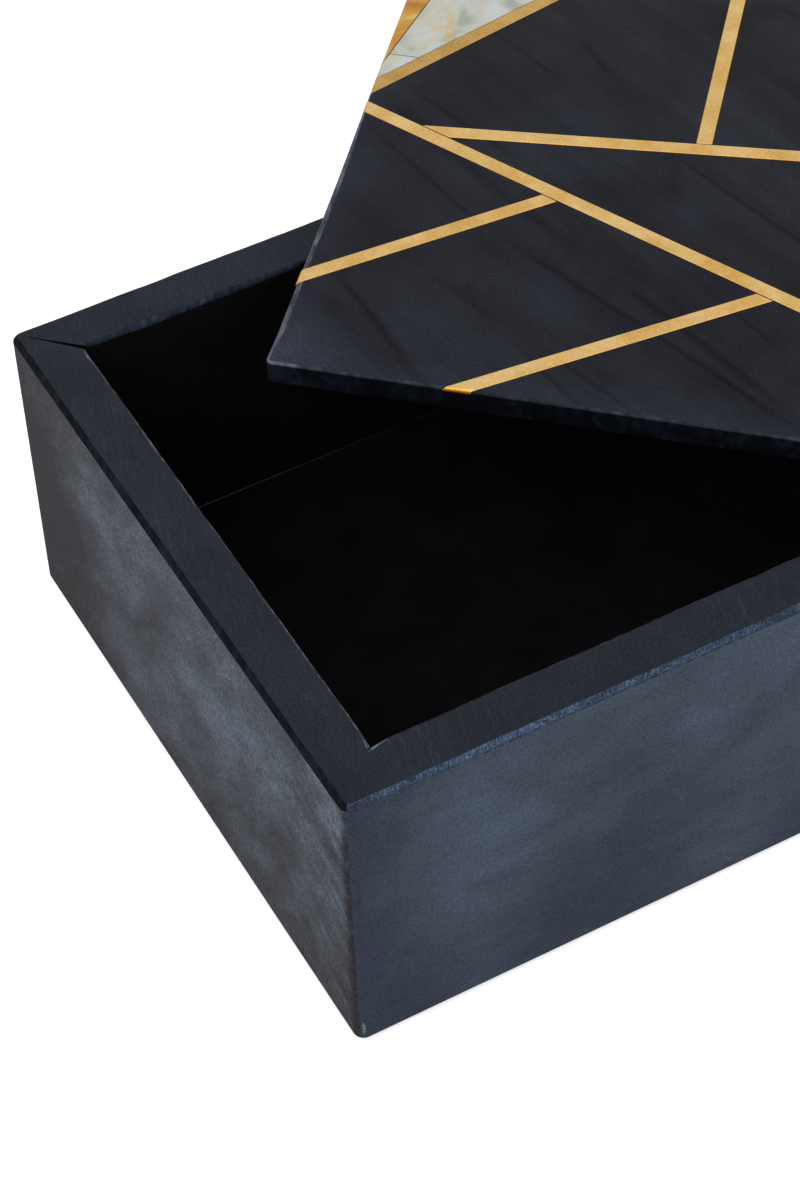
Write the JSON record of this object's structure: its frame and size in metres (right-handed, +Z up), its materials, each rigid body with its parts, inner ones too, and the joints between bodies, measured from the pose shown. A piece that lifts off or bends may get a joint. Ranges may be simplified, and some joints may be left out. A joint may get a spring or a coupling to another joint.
{
  "type": "trinket box",
  "caption": "Low rectangular black stone trinket box with mitred slab walls and a loose flat lid inlaid with brass strips and an onyx corner.",
  "frame": {"origin": "centre of the felt's underside, on the surface that the box stands on", "axes": "+X along the front wall to its right end, +Y from the front wall to the back wall, +Z up"},
  "size_m": [0.2144, 0.1806, 0.0686],
  "materials": {
    "box_stone": "honed black stone, cloudy and finely scratched",
    "lid_stone": "honed black stone with faint dark veins",
    "brass": "ground flush, satin",
    "pale_onyx": "polished, milky with grey and amber clouds",
    "honey_onyx": "polished, amber",
    "felt": "black wool felt"
  },
  "bodies": {
    "box": {"base_felt": "felt", "base_slab": "box_stone", "front_wall": "box_stone", "right_wall": "box_stone", "back_wall": "box_stone", "left_wall": "box_stone"},
    "pivot": {"pivot_pad": "felt"},
    "lid": {"lid_pads": "felt", "lid_slab": "lid_stone", "brass_border_strip": "brass", "brass_long_strip": "brass", "brass_branch_strip": "brass", "brass_upright_strip": "brass", "brass_left_strip": "brass", "brass_front_strip": "brass", "onyx_main": "pale_onyx", "onyx_honey": "honey_onyx", "onyx_chip": "pale_onyx"}
  },
  "joints": [
    {"name": "lid_lift", "type": "slide", "parent": "box", "child": "pivot", "axis": [0, 0, 1], "range_m": [0, 0.12]},
    {"name": "lid_swivel", "type": "hinge", "parent": "pivot", "child": "lid", "pos_m": [0.063, -0.057, 0.0636], "axis": [0, 0, 1], "range_deg": [-6, 42.5]}
  ]
}
